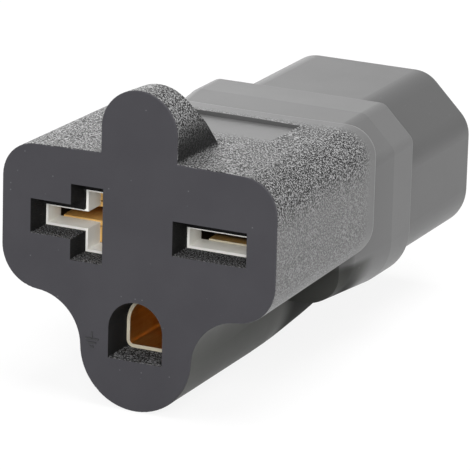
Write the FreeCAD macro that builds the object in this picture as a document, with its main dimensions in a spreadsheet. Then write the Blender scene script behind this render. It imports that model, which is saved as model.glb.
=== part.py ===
"""Power plug adapter: a flat-blade socket in front, a three-pin shrouded inlet plug behind.

Frame, in millimetres: the origin is on the socket face, on the line through the two blade
slots and midway between them. +X is to the right of someone who faces the socket, +Y runs
back through the body to the inlet plug, and +Z is up, towards the finger tab.
"""
import FreeCAD
import Part
import Sketcher
import math
import os
import re

Vector = FreeCAD.Vector

# Driving sizes in millimetres, drafts in degrees: name, value and what it measures.
SIZES = [
    ("slot_pitch", 18.24, "between the centres of the blade slots"),
    ("slot_width", 9.34, "blade slot, side to side"),
    ("slot_height", 4.15, "blade slot, top to foot"),
    ("bar_width", 4.14, "upright bar of the T-slot, side to side"),
    ("bar_height", 9.1, "upright bar of the T-slot, top to foot"),
    ("ground_drop", 11.89, "ground socket below the line of the blade slots"),
    ("ground_radius", 3.475, "round top of the ground socket"),
    ("ground_flat", 3.64, "flat foot of the ground socket below its centre"),
    ("ground_seat", 4.8, "face to the ground contact"),
    ("ground_length", 16.2, "sleeve of the ground contact"),
    ("ground_sheet", 0.4, "wall of that sleeve"),
    ("sleeve_drop", 0.45, "arch of the sleeve below that of the socket"),
    ("sleeve_fold", 0.9, "folded lower edges of the sleeve"),
    ("carrier_setback", 3.9, "face to the contact carrier"),
    ("liner_rim", 0.3, "openings of the carrier inside those of the shell"),
    ("sill_drop", 1.5, "tops of the carrier's openings below those of the shell"),
    ("sill_depth", 0.5, "shell in front of the carrier, above its openings"),
    ("liner_depth", 3.1, "front wall of the carrier"),
    ("chamber_margin", 0.3, "contact chambers beyond the slots, each way"),
    ("carrier_wall", 1.3, "wall of the carrier round its chambers"),
    ("carrier_corner", 1.5, "corners of the carrier"),
    ("cover_depth", 2.0, "cover behind the carrier"),
    ("contact_sheet", 0.6, "brass strip of the blade contacts"),
    ("contact_depth", 11.0, "blade contact, lips to rear web"),
    ("leaf_gap", 1.4, "between the leaves, a little under a blade"),
    ("upright_lip_gap", 3.1, "between the lips of the upright leaves"),
    ("level_lip_gap", 1.7, "between the lips of the level leaves"),
    ("lip_depth", 2.6, "slanted lips of the leaves"),
    ("lip_room", 1.1, "chamber of the straight slot beyond the lips"),
    ("straight_inset", 1.3, "leaves of the straight slot inside its ends"),
    ("level_inset", 0.7, "level leaves of the T-slot inside its outer end"),
    ("upright_inset", 0.35, "upright leaves inside the ends of the bar"),
    ("split_room", 0.15, "split of the upright leaves beyond the lips"),
    ("leaf_lap", 0.25, "level leaves lapped into the upright web"),
    ("conductor_radius", 0.9, "copper conductor"),
    ("insulation_wall", 0.7, "insulation round the conductor"),
    ("barrel_wall", 1.0, "crimp barrel round the conductor"),
    ("barrel_depth", 4.0, "crimp barrel, front to rear"),
    ("barrel_web", 0.5, "closed end of a barrel's bore"),
    ("wire_stub", 1.0, "straight wire at each end of its bends"),
    ("side_wall", 2.11, "shell beside the carrier"),
    ("roof_wall", 2.7, "shell above the carrier"),
    ("floor_wall", 2.65, "shell below the carrier"),
    ("rear_wall", 3.5, "shell behind the cover, in the middle"),
    ("face_edge", 0.2, "rounding of the face's outer edge"),
    ("crown_radius", 400.0, "slight crown of the top"),
    ("top_corner", 4.2, "upper corners of the face"),
    ("foot_corner", 5.0, "lower corners of the face"),
    ("lobe_radius", 7.15, "round lobe that holds the ground socket"),
    ("lobe_offset", 2.51, "lobe centre below the centre of the ground socket"),
    ("lobe_blend", 6.0, "hollow round between the foot and the lobe"),
    ("head_draft", 0.85, "draft of the head towards the rear"),
    ("bow_radius", 76.0, "bow of the head's rear end, seen from above"),
    ("head_edge", 1.2, "rounding of the head's rear edge"),
    ("tab_width", 9.7, "finger tab, side to side"),
    ("tab_rise", 7.9, "finger tab above the face"),
    ("tab_thickness", 5.0, "finger tab near its top"),
    ("tab_root", 10.5, "finger tab where it meets the head"),
    ("tab_bend", 4.0, "bend in the rear of the tab"),
    ("tab_slope", 4.0, "slope of the tab's top towards the rear"),
    ("recess_width", 18.6, "sunk panel on the top, side to side"),
    ("recess_length", 11.5, "sunk panel, front to rear"),
    ("recess_margin", 4.0, "rear wall of the panel before the head's rear end"),
    ("recess_depth", 0.55, "panel at its rear wall"),
    ("tail_overlap", 2.0, "start of the lobe's tail inside the head"),
    ("tail_step", 0.02, "tail inside the outline of the lobe"),
    ("tail_draft", 3.5, "draft of the tail"),
    ("tail_length", 13.5, "tail behind the head"),
    ("tail_round", 2.5, "rounding of the tail's end"),
    ("block_length", 16.5, "rear block behind the head"),
    ("block_step", 1.03, "rear block beyond the inlet's outline"),
    ("block_chamfer", 4.0, "bevelled upper corners of the block"),
    ("block_round", 1.6, "soft edges of those bevels"),
    ("block_edge", 0.6, "rounding of the block's rear edge"),
    ("collar_depth", 6.0, "straight run at the rear of the block"),
    ("ramp_reach", 2.2, "slanted lower front of the block behind the head, at its sides"),
    ("ramp_slant", 62.0, "slant of that front, seen from above"),
    ("ramp_round", 3.0, "soft edges of that front"),
    ("flare_overlap", 1.0, "start of the block's flare inside the head"),
    ("flare_step", 0.9, "how much smaller the flare starts, each side"),
    ("inlet_width", 28.5, "inlet shroud, side to side"),
    ("inlet_height", 19.9, "inlet shroud, top to foot"),
    ("inlet_drop", 4.2, "inlet centre below the line of the blade slots"),
    ("inlet_chamfer", 5.9, "bevelled upper corners of the shroud"),
    ("inlet_round", 4.0, "soft edges of those bevels"),
    ("inlet_corner", 5.4, "lower corners of the shroud"),
    ("shroud_length", 20.35, "inlet shroud behind the block"),
    ("shroud_wall", 1.85, "wall of the shroud"),
    ("rim_edge", 0.5, "rounding of the shroud's rim"),
    ("cavity_depth", 17.5, "rim to the floor of the cavity"),
    ("cavity_round", 0.8, "soft edges of the cavity's bevels"),
    ("pin_carrier_depth", 6.0, "pin carrier, front to rear"),
    ("pin_pitch", 7.0, "between neighbouring pins, side to side"),
    ("pin_offset", 2.0, "pins above and below the inlet's centre"),
    ("pin_thickness", 2.0, "flat pin, side to side"),
    ("pin_height", 4.0, "flat pin, top to foot"),
    ("pin_tip", 0.6, "bevelled tips of the pins"),
    ("line_pin_reach", 14.0, "line pins beyond the floor of the cavity"),
    ("earth_pin_reach", 16.0, "earth pin beyond the floor of the cavity"),
]
ALIASES = {alias for alias, _, _ in SIZES}

# Places and sizes that follow from the driving ones, across the face.
SLOT_CENTRE = "(slot_pitch / 2)"
SLOT_INNER = f"({SLOT_CENTRE} - slot_width / 2)"
SLOT_OUTER = f"({SLOT_CENTRE} + slot_width / 2)"
BAR_CENTRE = f"({SLOT_INNER} + bar_width / 2)"
CARRIER_HALF_WIDTH = f"({SLOT_OUTER} + chamber_margin + carrier_wall)"
CARRIER_HALF_HEIGHT = "(bar_height / 2 + chamber_margin + carrier_wall)"
FACE_HALF_WIDTH = f"({CARRIER_HALF_WIDTH} + side_wall)"
FACE_TOP = f"({CARRIER_HALF_HEIGHT} + roof_wall)"
FACE_FOOT = f"({CARRIER_HALF_HEIGHT} + floor_wall)"
TAB_TOP = f"({FACE_TOP} + tab_rise)"
LOBE_DROP = "(ground_drop + lobe_offset)"
FULL_HEIGHT = f"({TAB_TOP} + {LOBE_DROP} + lobe_radius)"
INLET_TOP = "(inlet_height / 2 - inlet_drop)"
INLET_FOOT = "(-inlet_height / 2 - inlet_drop)"
LINE_PIN_LEVEL = "(-inlet_drop - pin_offset)"
EARTH_PIN_LEVEL = "(pin_offset - inlet_drop)"
BLOCK_HALF_WIDTH = "(inlet_width / 2 + block_step)"
RAMP_TOP = f"(floor_wall / 2 - {FACE_FOOT})"
RAMP_SLOPE = "tan(ramp_slant * 1 deg)"
BLADE_LEVEL = "(-sill_drop / 2)"
LEAF_OUTSIDE = "(leaf_gap / 2 + contact_sheet)"
LIP_OUTSIDE = "(level_lip_gap / 2 + contact_sheet)"
BARREL_RADIUS = "(conductor_radius + barrel_wall)"
INSULATION_RADIUS = "(conductor_radius + insulation_wall)"

# Depths behind the face that follow from the driving sizes, front to rear.
CHAMBER_FRONT = "(carrier_setback + liner_depth)"
WEB_REAR = f"({CHAMBER_FRONT} + contact_depth)"
CARRIER_REAR = f"({WEB_REAR} + barrel_depth)"
COVER_REAR = f"({CARRIER_REAR} + cover_depth)"
GROUND_REAR = "(ground_seat + ground_length)"
HEAD_REAR = f"({COVER_REAR} + rear_wall)"
FLARE_FRONT = f"({HEAD_REAR} - flare_overlap)"
RAMP_MIDDLE = f"({HEAD_REAR} + ramp_reach - {BLOCK_HALF_WIDTH} * {RAMP_SLOPE})"
BLOCK_REAR = f"({HEAD_REAR} + block_length)"
COLLAR_FRONT = f"({BLOCK_REAR} - collar_depth)"
RIM = f"({BLOCK_REAR} + shroud_length)"
CAVITY_FLOOR = f"({RIM} - cavity_depth)"
PIN_CARRIER_FRONT = f"({CAVITY_FLOOR} - pin_carrier_depth)"
PIN_BARREL_FRONT = f"({PIN_CARRIER_FRONT} - barrel_depth)"

# Each pin: name, place across and up, and reach beyond the floor of the cavity.
PINS = (
    ("left_pin", "-pin_pitch", LINE_PIN_LEVEL, "line_pin_reach"),
    ("right_pin", "pin_pitch", LINE_PIN_LEVEL, "line_pin_reach"),
    ("earth_pin", "0", EARTH_PIN_LEVEL, "earth_pin_reach"),
)

# Each wire: name, start across and up, depth of its barrel, depth where its bends may
# start, and its end across and up.
WIRES = (
    ("left", f"-{SLOT_CENTRE}", BLADE_LEVEL, WEB_REAR, COVER_REAR, "-pin_pitch", LINE_PIN_LEVEL),
    ("right", SLOT_CENTRE, BLADE_LEVEL, WEB_REAR, COVER_REAR, "pin_pitch", LINE_PIN_LEVEL),
    ("earth", "0", "-ground_drop", GROUND_REAR, f"({GROUND_REAR} + barrel_depth)", "0", EARTH_PIN_LEVEL),
)

TOUCH = 1e-4
BACKWARD = FreeCAD.Rotation(Vector(0, 0, 1), Vector(0, 1, 0))

doc = FreeCAD.newDocument("plug_adapter")
sheet = doc.addObject("Spreadsheet::Sheet", "sizes")
for row, (alias, value, note) in enumerate(SIZES, start=1):
    sheet.set(f"A{row}", str(value))
    sheet.set(f"B{row}", note)
    sheet.setAlias(f"A{row}", alias)
doc.recompute()


def tied(expression):
    """Expression that reads every size it names from the sheet."""

    def from_sheet(word):
        return f"sizes.{word[0]}" if word[0] in ALIASES else word[0]

    return re.sub(r"[a-z_]+", from_sheet, expression)


def number(expression):
    """Value that an expression has now."""
    return float(sheet.evalExpression(tied(expression)))


def place(x, y, z):
    """Point at three expressions."""
    return Vector(number(x), number(y), number(z))


def sketch_on(body, role, name, offset="0"):
    """Empty sketch on one of a body's planes, moved along that plane's normal."""
    sketch = body.newObject("Sketcher::SketchObject", name)
    plane = next(item for item in body.Origin.OriginFeatures if item.Role == role)
    sketch.AttachmentSupport = [(plane, "")]
    sketch.MapMode = "FlatFace"
    sketch.setExpression("AttachmentOffset.Base.z", tied(offset))
    return sketch


def face_sketch(body, name, depth="0"):
    """Sketch across the body at a depth behind the socket face: X to the right, Z up."""
    return sketch_on(body, "XZ_Plane", name, f"-({depth})")


def side_sketch(body, name, across="0"):
    """Sketch seen from the right: Y to the right, Z up."""
    return sketch_on(body, "YZ_Plane", name, across)


def constrain(sketch, kind, *where, size=None):
    """Adds a constraint, tied to an expression if it has a size."""
    if size is None:
        sketch.addConstraint(Sketcher.Constraint(kind, *where))
        return
    index = sketch.addConstraint(Sketcher.Constraint(kind, *where, number(size)))
    sketch.setExpression(f"Constraints[{index}]", tied(size))


def hold_point(sketch, geometry, end, across, up):
    """Holds one point of a sketch at two expressions."""
    constrain(sketch, "DistanceX", geometry, end, size=across)
    constrain(sketch, "DistanceY", geometry, end, size=up)


def draw_circle(sketch, across, up, radius):
    """Draws a circle."""
    centre = Vector(number(across), number(up), 0)
    circle = sketch.addGeometry(Part.Circle(centre, Vector(0, 0, 1), number(radius)), False)
    constrain(sketch, "Radius", circle, size=radius)
    hold_point(sketch, circle, 3, across, up)


def draw_arc(sketch, centre, radius, first, second):
    """Draws the anticlockwise arc from the first point to the second."""
    angles = [math.atan2(point.y - centre.y, point.x - centre.x) for point in (first, second)]
    if angles[1] <= angles[0]:
        angles[1] += 2 * math.pi
    circle = Part.Circle(centre, Vector(0, 0, 1), radius)
    return sketch.addGeometry(Part.ArcOfCircle(circle, *angles), False)


def draw_outline(sketch, corners):
    """Draws a closed outline of straight runs, anticlockwise, with sharp or round corners.

    Each corner is (across, up) or (across, up, radius), all expressions.
    """
    points = [Vector(number(corner[0]), number(corner[1]), 0) for corner in corners]
    count = len(points)
    entries, exits, centres = [], [], []
    for index, corner in enumerate(corners):
        point = points[index]
        before = (points[index - 1] - point).normalize()
        after = (points[(index + 1) % count] - point).normalize()
        half = before.getAngle(after) / 2
        radius = number(corner[2]) if len(corner) == 3 else 0.0
        entries.append(point + before * (radius / math.tan(half)))
        exits.append(point + after * (radius / math.tan(half)))
        centres.append(point + (before + after).normalize() * (radius / math.sin(half)))
    runs = []
    for index in range(count):
        run = Part.LineSegment(exits[index], entries[(index + 1) % count])
        runs.append(sketch.addGeometry(run, False))
    for index, corner in enumerate(corners):
        before, after = runs[index - 1], runs[index]
        if len(corner) == 2:
            constrain(sketch, "Coincident", before, 2, after, 1)
            hold_point(sketch, after, 1, *corner)
            continue
        turn = (points[index] - points[index - 1]).cross(points[(index + 1) % count] - points[index])
        radius = number(corner[2])
        if turn.z > 0:
            arc = draw_arc(sketch, centres[index], radius, entries[index], exits[index])
            ends = (1, 2)
        else:
            arc = draw_arc(sketch, centres[index], radius, exits[index], entries[index])
            ends = (2, 1)
        tip = sketch.addGeometry(Part.Point(points[index]), True)
        constrain(sketch, "Tangent", before, 2, arc, ends[0])
        constrain(sketch, "Tangent", arc, ends[1], after, 1)
        constrain(sketch, "Radius", arc, size=corner[2])
        constrain(sketch, "PointOnObject", tip, 1, before)
        constrain(sketch, "PointOnObject", tip, 1, after)
        hold_point(sketch, tip, 1, corner[0], corner[1])


def draw_box(sketch, left, right, foot, top, radius=None):
    """Draws a level rectangle, with round corners if it has a radius."""
    corners = [(left, foot), (right, foot), (right, top), (left, top)]
    if radius:
        corners = [corner + (radius,) for corner in corners]
    draw_outline(sketch, corners)


def draw_arch(sketch, up, radius, foot, fold="0"):
    """Draws an arch on the middle line: round above, straight sides, flat below.

    Its lower corners are round if it has a fold.
    """
    reach, level, bend = number(radius), number(foot), number(fold)
    centre = Vector(0, number(up), 0)
    left, right = centre - Vector(reach, 0, 0), centre + Vector(reach, 0, 0)
    low_left, low_right = Vector(-reach, level + bend, 0), Vector(reach, level + bend, 0)
    flat_left, flat_right = Vector(bend - reach, level, 0), Vector(reach - bend, level, 0)
    arch = draw_arc(sketch, centre, reach, right, left)
    left_run = sketch.addGeometry(Part.LineSegment(left, low_left), False)
    flat = sketch.addGeometry(Part.LineSegment(flat_left, flat_right), False)
    right_run = sketch.addGeometry(Part.LineSegment(low_right, right), False)
    constrain(sketch, "Radius", arch, size=radius)
    hold_point(sketch, arch, 3, "0", up)
    constrain(sketch, "Tangent", arch, 2, left_run, 1)
    constrain(sketch, "Tangent", arch, 1, right_run, 2)
    corners = ((left_run, flat, low_left, flat_left, 1), (flat, right_run, flat_right, low_right, -1))
    for before, after, first, second, side in corners:
        if bend == 0:
            constrain(sketch, "Coincident", before, 2, after, 1)
            continue
        corner = draw_arc(sketch, Vector(side * (bend - reach), level + bend, 0), bend, first, second)
        constrain(sketch, "Tangent", before, 2, corner, 1)
        constrain(sketch, "Tangent", corner, 2, after, 1)
        constrain(sketch, "Radius", corner, size=fold)
    constrain(sketch, "Vertical", left_run)
    constrain(sketch, "Vertical", right_run)
    constrain(sketch, "Horizontal", flat)
    constrain(sketch, "DistanceY", flat, 1, size=foot)


def draw_inlet(sketch, grow, chamfer, edge):
    """Draws the inlet's outline, bevelled above and round below, grown by a step each way."""
    half = f"(inlet_width / 2 + {grow})"
    top, foot = f"({INLET_TOP} + {grow})", f"({INLET_FOOT} - ({grow}))"
    corner = f"inlet_corner + {grow}"
    draw_outline(sketch, [
        (f"-{half}", foot, corner),
        (half, foot, corner),
        (half, f"{top} - ({chamfer})", edge),
        (f"{half} - ({chamfer})", top, edge),
        (f"{chamfer} - {half}", top, edge),
        (f"-{half}", f"{top} - ({chamfer})", edge),
    ])


def draw_cavity(sketch):
    """Draws the inlet cavity, which is also the outline of the pin carrier."""
    draw_inlet(sketch, "-shroud_wall", "inlet_chamfer - shroud_wall * (2 - sqrt(2))", "cavity_round")


def draw_t_slot(sketch, inset, drop="0"):
    """Draws the T-slot: a level arm to the left of an upright bar, with lower tops if they drop."""
    inner = f"-({SLOT_INNER} + {inset})"
    step = f"-({SLOT_INNER} + bar_width - {inset})"
    outer = f"-({SLOT_OUTER} - {inset})"
    arm = f"(slot_height / 2 - {inset})"
    bar = f"(bar_height / 2 - {inset})"
    arm_top, bar_top = f"{arm} - {drop}", f"{bar} - {drop}"
    draw_outline(sketch, [
        (inner, f"-{bar}"), (inner, bar_top), (step, bar_top), (step, arm_top),
        (outer, arm_top), (outer, f"-{arm}"), (step, f"-{arm}"), (step, f"-{bar}"),
    ])


def draw_straight_slot(sketch, inset, drop="0"):
    """Draws the straight blade slot, with a lower top if it drops."""
    half = f"(slot_height / 2 - {inset})"
    draw_box(sketch, f"{SLOT_INNER} + {inset}", f"{SLOT_OUTER} - {inset}", f"-{half}", f"{half} - {drop}")


def draw_ground_hole(sketch):
    """Draws the ground socket: round above, flat below."""
    draw_arch(sketch, "-ground_drop", "ground_radius", "-ground_drop - ground_flat")


def draw_sleeve(sketch, inset):
    """Draws the section of the ground contact's sleeve, which lies in the ground socket."""
    draw_arch(sketch, "-ground_drop - sleeve_drop", f"ground_radius - {inset}",
              f"{inset} - ground_drop - ground_flat", f"sleeve_fold - {inset}")


def draw_carrier(sketch):
    """Draws the outline that the contact carrier and its cover share."""
    draw_box(sketch, f"-{CARRIER_HALF_WIDTH}", CARRIER_HALF_WIDTH, f"-{CARRIER_HALF_HEIGHT}",
             CARRIER_HALF_HEIGHT, "carrier_corner")


def draw_pin(sketch, across, level):
    """Draws the section of a flat pin."""
    draw_box(sketch, f"{across} - pin_thickness / 2", f"{across} + pin_thickness / 2",
             f"{level} - pin_height / 2", f"{level} + pin_height / 2")


def meeting_point(first, first_reach, second, second_reach):
    """Point to the right of the line between two centres at a set reach from each."""
    gap = second - first
    along = (gap.Length ** 2 + first_reach ** 2 - second_reach ** 2) / (2 * gap.Length)
    aside = math.sqrt(first_reach ** 2 - along ** 2)
    direction = gap.normalize()
    return first + direction * along + Vector(direction.y, -direction.x, 0) * aside


def towards(start, goal, reach):
    """Point at a set reach from the start on the way to the goal."""
    return start + (goal - start).normalize() * reach


def mirrored(point):
    """Point on the other side of the middle line."""
    return Vector(-point.x, point.y, 0)


def draw_head(sketch):
    """Draws the socket face: a crowned, rounded plate with the ground lobe hung below it."""
    half = number(FACE_HALF_WIDTH)
    crown_radius, top_radius = number("crown_radius"), number("top_corner")
    foot_radius, lobe_radius = number("foot_corner"), number("lobe_radius")
    blend_radius = number("lobe_blend")
    crown = Vector(0, number(f"{FACE_TOP} - crown_radius"), 0)
    lobe = Vector(0, number(f"-{LOBE_DROP}"), 0)
    foot = Vector(half - foot_radius, number(f"foot_corner - {FACE_FOOT}"), 0)
    rise = math.sqrt((crown_radius - top_radius) ** 2 - (half - top_radius) ** 2)
    top = Vector(half - top_radius, crown.y + rise, 0)
    blend = meeting_point(lobe, lobe_radius + blend_radius, foot, foot_radius + blend_radius)
    crown_end = towards(crown, top, crown_radius)
    foot_end = towards(foot, blend, foot_radius)
    lobe_end = towards(lobe, blend, lobe_radius)
    top_side = Vector(half, top.y, 0)
    foot_side = Vector(half, foot.y, 0)

    right_run = sketch.addGeometry(Part.LineSegment(foot_side, top_side), False)
    right_top = draw_arc(sketch, top, top_radius, top_side, crown_end)
    crown_arc = draw_arc(sketch, crown, crown_radius, crown_end, mirrored(crown_end))
    left_top = draw_arc(sketch, mirrored(top), top_radius, mirrored(crown_end), mirrored(top_side))
    left_run = sketch.addGeometry(Part.LineSegment(mirrored(top_side), mirrored(foot_side)), False)
    left_foot = draw_arc(sketch, mirrored(foot), foot_radius, mirrored(foot_side), mirrored(foot_end))
    left_blend = draw_arc(sketch, mirrored(blend), blend_radius, mirrored(lobe_end), mirrored(foot_end))
    lobe_arc = draw_arc(sketch, lobe, lobe_radius, mirrored(lobe_end), lobe_end)
    right_blend = draw_arc(sketch, blend, blend_radius, foot_end, lobe_end)
    right_foot = draw_arc(sketch, foot, foot_radius, foot_end, foot_side)

    joints = [
        (right_run, 2, right_top, 1),
        (right_top, 2, crown_arc, 1),
        (crown_arc, 2, left_top, 1),
        (left_top, 2, left_run, 1),
        (left_run, 2, left_foot, 1),
        (left_foot, 2, left_blend, 2),
        (left_blend, 1, lobe_arc, 1),
        (lobe_arc, 2, right_blend, 2),
        (right_blend, 1, right_foot, 1),
        (right_foot, 2, right_run, 1),
    ]
    for joint in joints:
        constrain(sketch, "Tangent", *joint)
    radii = [
        (crown_arc, "crown_radius"), (right_top, "top_corner"), (left_top, "top_corner"),
        (right_foot, "foot_corner"), (left_foot, "foot_corner"), (lobe_arc, "lobe_radius"),
        (right_blend, "lobe_blend"), (left_blend, "lobe_blend"),
    ]
    for arc, radius in radii:
        constrain(sketch, "Radius", arc, size=radius)
    hold_point(sketch, crown_arc, 3, "0", f"{FACE_TOP} - crown_radius")
    hold_point(sketch, lobe_arc, 3, "0", f"-{LOBE_DROP}")
    sides = ((right_run, right_foot, FACE_HALF_WIDTH), (left_run, left_foot, f"-{FACE_HALF_WIDTH}"))
    for run, corner, reach in sides:
        constrain(sketch, "Vertical", run)
        constrain(sketch, "DistanceX", run, 1, size=reach)
        constrain(sketch, "DistanceY", corner, 3, size=f"foot_corner - {FACE_FOOT}")


def draw_leaf_pair(sketch, middle, lips, upright=False):
    """Draws a folded strip: two leaves with slanted lips, joined by a web at the rear.

    Depth runs along the sketch's first axis, or along its second if the leaves are upright.
    """
    lip_end = f"{CHAMBER_FRONT} + lip_depth"
    web_front = f"{WEB_REAR} - contact_sheet"
    half = [
        (CHAMBER_FRONT, f"({lips} / 2)"), (CHAMBER_FRONT, f"({lips} / 2 + contact_sheet)"),
        (lip_end, LEAF_OUTSIDE), (WEB_REAR, LEAF_OUTSIDE),
    ]
    inside = [(web_front, "(leaf_gap / 2)"), (lip_end, "(leaf_gap / 2)")]
    below = [(depth, f"{middle} - {gap}") for depth, gap in inside + half]
    above = [(depth, f"{middle} + {gap}") for depth, gap in reversed(inside + half)]
    outline = below + above
    if upright:
        outline = [(across, depth) for depth, across in reversed(outline)]
    draw_outline(sketch, outline)


def new_body(name):
    """Starts a piece that is built from sketches."""
    body = doc.addObject("PartDesign::Body", name)
    body.Label = name
    return body


def add_feature(body, kind, sketch, name, length):
    """Adds a pad or pocket of a sketch to a body."""
    feature = body.newObject(f"PartDesign::{kind}", name)
    feature.Profile = sketch
    feature.setExpression("Length", tied(length))
    return feature


def pad_back(body, sketch, length, name, draft=None):
    """Pads a face sketch towards the rear, with an optional draft inwards."""
    pad = add_feature(body, "Pad", sketch, name, length)
    pad.Reversed = True
    if draft:
        pad.setExpression("TaperAngle", tied(f"-{draft}"))
    doc.recompute()


def add_loft(body, first, second, name):
    """Joins two sketches by straight lines."""
    loft = body.newObject("PartDesign::AdditiveLoft", name)
    loft.Profile = first
    loft.Sections = [second]
    loft.Ruled = True
    doc.recompute()


def pad_across(body, sketch, length, name):
    """Pads a sketch by half the length to each side of its plane."""
    pad = add_feature(body, "Pad", sketch, name, length)
    pad.SideType = "Symmetric"
    doc.recompute()


def pocket_back(body, sketch, length, name):
    """Cuts a face sketch towards the rear."""
    check_cut(add_feature(body, "Pocket", sketch, name, length))


def pocket_forward(body, sketch, length, name):
    """Cuts a face sketch towards the socket face."""
    pocket = add_feature(body, "Pocket", sketch, name, length)
    pocket.Reversed = True
    check_cut(pocket)


def pocket_across(body, sketch, length, name):
    """Cuts by half the length to each side of the sketch's plane."""
    pocket = add_feature(body, "Pocket", sketch, name, length)
    pocket.SideType = "Symmetric"
    check_cut(pocket)


def check_cut(cut):
    """Recomputes a cut and stops if it took nothing away."""
    doc.recompute()
    if cut.Shape.Volume >= cut.BaseFeature.Shape.Volume:
        raise RuntimeError(f"{cut.Name} cuts nothing")


def dress_edges(body, kind, size, name, wanted):
    """Rounds or bevels the edges of a body's tip that a test picks."""
    base = body.Tip
    names = [f"Edge{i}" for i, edge in enumerate(base.Shape.Edges, start=1) if wanted(edge)]
    dressing = body.newObject(f"PartDesign::{kind}", name)
    dressing.Base = (base, names)
    dressing.setExpression("Radius" if kind == "Fillet" else "Size", tied(size))
    doc.recompute()


def lies_at(depth):
    """Test for edges that lie in the plane at a depth behind the face."""
    level = number(depth)

    def test(edge):
        box = edge.BoundBox
        return abs(box.YMin - level) < TOUCH and abs(box.YMax - level) < TOUCH

    return test


def lies_on_bow():
    """Test for edges that lie on the bowed rear end of the head."""
    radius = number("bow_radius")
    centre = number(f"{HEAD_REAR} + bow_radius")

    def test(edge):
        ends = edge.discretize(3)
        return all(abs(math.hypot(end.x, end.y - centre) - radius) < TOUCH for end in ends)

    return test


def lies_on_ramp():
    """Test for the outer edges of the block's slanted lower front."""
    top, slope, middle = number(RAMP_TOP), number(RAMP_SLOPE), number(RAMP_MIDDLE)
    front = number(FLARE_FRONT)

    def test(edge):
        points = edge.discretize(5)
        slanted = all(abs(point.y - middle - abs(point.x) * slope) < TOUCH for point in points)
        lowest, rearmost = min(point.z for point in points), max(point.y for point in points)
        return slanted and lowest < top - TOUCH and rearmost > front + TOUCH

    return test


def make_shell_form():
    """Moulded outside of the adapter, with its openings and the seats of its inserts."""
    body = new_body("shell_form")
    add_tab(body)
    add_head(body)
    add_tail(body)
    add_block(body)
    add_shroud(body)
    cut_recess(body)
    cut_openings(body)
    return body


def add_tab(body):
    """Finger tab: round-topped seen from the front, sloped and raked down to the head behind."""
    rake_end = f"(tab_root + {FACE_TOP})"
    centre = f"{TAB_TOP} - tab_width / 2"
    front = face_sketch(body, "tab_front_outline")
    draw_arch(front, centre, "tab_width / 2", "0")
    behind = face_sketch(body, "tab_end_outline", rake_end)
    draw_arch(behind, f"{centre} - {rake_end} * tan(tab_slope * 1 deg)", "tab_width / 2", "0")
    add_loft(body, front, behind, "tab")
    rake = side_sketch(body, "tab_rake")
    high, far = f"{TAB_TOP} + tab_root", f"2 * {rake_end}"
    draw_outline(rake, [
        ("tab_thickness", f"{rake_end} - tab_thickness", "tab_bend"),
        (rake_end, "0"), (far, "0"), (far, high), ("tab_thickness", high),
    ])
    pocket_across(body, rake, "2 * tab_width", "tab_rear")


def add_head(body):
    """Head behind the socket face, with a rounded front edge and a bowed, rounded rear end."""
    outline = face_sketch(body, "head_outline")
    draw_head(outline)
    pad_back(body, outline, f"{HEAD_REAR} + {FACE_HALF_WIDTH} ^ 2 / bow_radius", "head", draft="head_draft")
    dress_edges(body, "Fillet", "face_edge", "face_round", lies_at("0"))
    bow = sketch_on(body, "XY_Plane", "head_bow")
    draw_circle(bow, "0", f"{HEAD_REAR} + bow_radius", "bow_radius")
    pocket_across(body, bow, f"2 * {FULL_HEIGHT}", "head_rear")
    dress_edges(body, "Fillet", "head_edge", "head_rear_round", lies_on_bow())


def add_tail(body):
    """Tail of the ground lobe, which runs on under the block."""
    lobe_rear = f"(lobe_radius - {HEAD_REAR} * tan(head_draft * 1 deg))"
    outline = face_sketch(body, "tail_outline", f"{HEAD_REAR} - tail_overlap")
    draw_circle(outline, "0", f"-{LOBE_DROP}",
                f"{lobe_rear} - tail_step + tail_overlap * tan(tail_draft * 1 deg)")
    pad_back(body, outline, "tail_overlap + tail_length", "tail", draft="tail_draft")
    dress_edges(body, "Fillet", "tail_round", "tail_end_round", lies_at(f"{HEAD_REAR} + tail_length"))


def make_block_form():
    """Block between the head and the inlet: it flares, then runs straight.

    Below the head its front is slanted, so that it leads from the lobe out to the sides.
    """
    body = new_body("block_form")
    flare = face_sketch(body, "flare_outline", FLARE_FRONT)
    draw_inlet(flare, "(block_step - flare_step)", "block_chamfer", "block_round")
    collar = face_sketch(body, "collar_outline", COLLAR_FRONT)
    draw_inlet(collar, "block_step", "block_chamfer", "block_round")
    add_loft(body, flare, collar, "block_flare")
    pad_back(body, collar, "collar_depth", "block_collar")
    dress_edges(body, "Fillet", "block_edge", "block_rear_round", lies_at(BLOCK_REAR))
    ramp = sketch_on(body, "XY_Plane", "ramp_outline", RAMP_TOP)
    near, far = f"{RAMP_MIDDLE} - ramp_reach", f"{RAMP_MIDDLE} + inlet_width * {RAMP_SLOPE}"
    draw_outline(ramp, [
        ("-inlet_width", near), ("inlet_width", near),
        ("inlet_width", far), ("0", RAMP_MIDDLE), ("-inlet_width", far),
    ])
    check_cut(add_feature(body, "Pocket", ramp, "ramp", "inlet_height"))
    dress_edges(body, "Fillet", "ramp_round", "ramp_edges", lies_on_ramp())
    return body


def add_block(body):
    """Adds the block to the moulding."""
    join = body.newObject("PartDesign::Boolean", "block")
    join.Type = "Fuse"
    join.setObjects([make_block_form()])
    doc.recompute()


def add_shroud(body):
    """Shroud of the inlet plug, and its cavity down to the seat of the pin carrier."""
    outline = face_sketch(body, "shroud_outline", COLLAR_FRONT)
    draw_inlet(outline, "0", "inlet_chamfer", "inlet_round")
    pad_back(body, outline, "collar_depth + shroud_length", "shroud")
    dress_edges(body, "Fillet", "rim_edge", "shroud_rim", lies_at(RIM))
    cavity = face_sketch(body, "cavity_outline", PIN_CARRIER_FRONT)
    draw_cavity(cavity)
    pocket_back(body, cavity, "cavity_depth + pin_carrier_depth", "cavity")


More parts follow.
